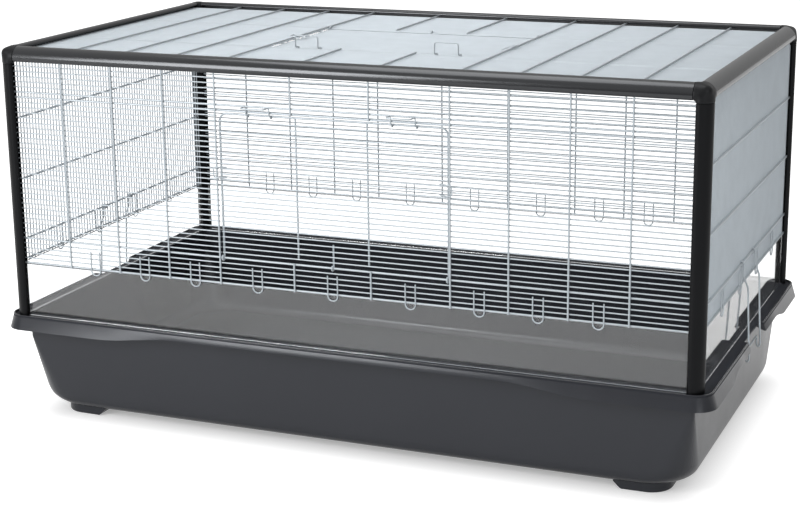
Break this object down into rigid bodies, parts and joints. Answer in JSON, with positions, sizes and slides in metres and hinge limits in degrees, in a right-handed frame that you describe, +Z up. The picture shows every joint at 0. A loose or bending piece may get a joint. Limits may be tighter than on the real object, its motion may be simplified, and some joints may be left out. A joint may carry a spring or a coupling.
{
  "type": "small animal cage",
  "caption": "Small animal cage: wire walls and roof in a rounded frame over clear panes and a deep tray, with a drop-down door, a roof hatch and end clamps.",
  "frame": {"origin": "on the table under the middle of the cage", "axes": "+X along the length to the right, -Y towards the door side, +Z up"},
  "size_m": [1, 0.5648, 0.5318],
  "materials": {
    "tray_plastic": "satin",
    "frame_plastic": "satin",
    "wire": "satin coating",
    "clear_pane": "clear gloss"
  },
  "bodies": {
    "tray_body": {"tray": "tray_plastic", "rim_front": "tray_plastic", "rim_back": "tray_plastic", "rim_left": "tray_plastic", "rim_right": "tray_plastic"},
    "cage_body": {"post_front_left": "frame_plastic", "post_front_right": "frame_plastic", "post_back_left": "frame_plastic", "post_back_right": "frame_plastic", "corners_left": "frame_plastic", "corners_right": "frame_plastic", "rail_front": "frame_plastic", "rail_back": "frame_plastic", "rail_left": "frame_plastic", "rail_right": "frame_plastic", "panel_front": "wire", "panel_back": "wire", "panel_left": "wire", "panel_right": "wire", "panel_roof": "wire", "hooks_front": "wire", "hooks_back": "wire", "hooks_left": "wire", "hooks_right": "wire", "pane_front": "clear_pane", "pane_back": "clear_pane", "pane_left": "clear_pane", "pane_right": "clear_pane"},
    "door_body": {"door_frame": "wire", "door_bars": "wire"},
    "hatch_body": {"hatch_frame": "wire", "hatch_bars": "wire"},
    "door_latch_left_body": {"door_latch_left": "wire"},
    "door_latch_right_body": {"door_latch_right": "wire"},
    "hatch_latch_left_body": {"hatch_latch_left": "wire"},
    "hatch_latch_right_body": {"hatch_latch_right": "wire"},
    "clamp_left_body": {"clamp_left": "wire"},
    "clamp_right_body": {"clamp_right": "wire"}
  },
  "joints": [
    {"name": "cage_lift", "type": "slide", "parent": "tray_body", "child": "cage_body", "axis": [0, 0, 1], "range_m": [0, 0.15]},
    {"name": "door_hinge", "type": "hinge", "parent": "cage_body", "child": "door_body", "pos_m": [0, -0.263, 0.2567], "axis": [1, 0, 0], "range_deg": [0, 125]},
    {"name": "hatch_hinge", "type": "hinge", "parent": "cage_body", "child": "hatch_body", "pos_m": [0, 0.088, 0.512], "axis": [-1, 0, 0], "range_deg": [0, 115]},
    {"name": "clamp_left_swing", "type": "hinge", "parent": "cage_body", "child": "clamp_left_body", "pos_m": [-0.4778, 0, 0.2497], "axis": [0, 1, 0], "range_deg": [-1.5, 100]},
    {"name": "clamp_right_swing", "type": "hinge", "parent": "cage_body", "child": "clamp_right_body", "pos_m": [0.4778, 0, 0.2497], "axis": [0, -1, 0], "range_deg": [-1.5, 100]},
    {"name": "door_latch_left_turn", "type": "hinge", "parent": "door_body", "child": "door_latch_left_body", "pos_m": [-0.1, -0.25981, 0.4481], "axis": [1, 0, 0], "range_deg": [0, 70]},
    {"name": "hatch_latch_left_turn", "type": "hinge", "parent": "hatch_body", "child": "hatch_latch_left_body", "pos_m": [-0.1, -0.1034, 0.50881], "axis": [-1, 0, 0], "range_deg": [0, 70]},
    {"name": "door_latch_right_turn", "type": "hinge", "parent": "door_body", "child": "door_latch_right_body", "pos_m": [0.1, -0.25981, 0.4481], "axis": [1, 0, 0], "range_deg": [0, 70]},
    {"name": "hatch_latch_right_turn", "type": "hinge", "parent": "hatch_body", "child": "hatch_latch_right_body", "pos_m": [0.1, -0.1034, 0.50881], "axis": [-1, 0, 0], "range_deg": [0, 70]}
  ]
}
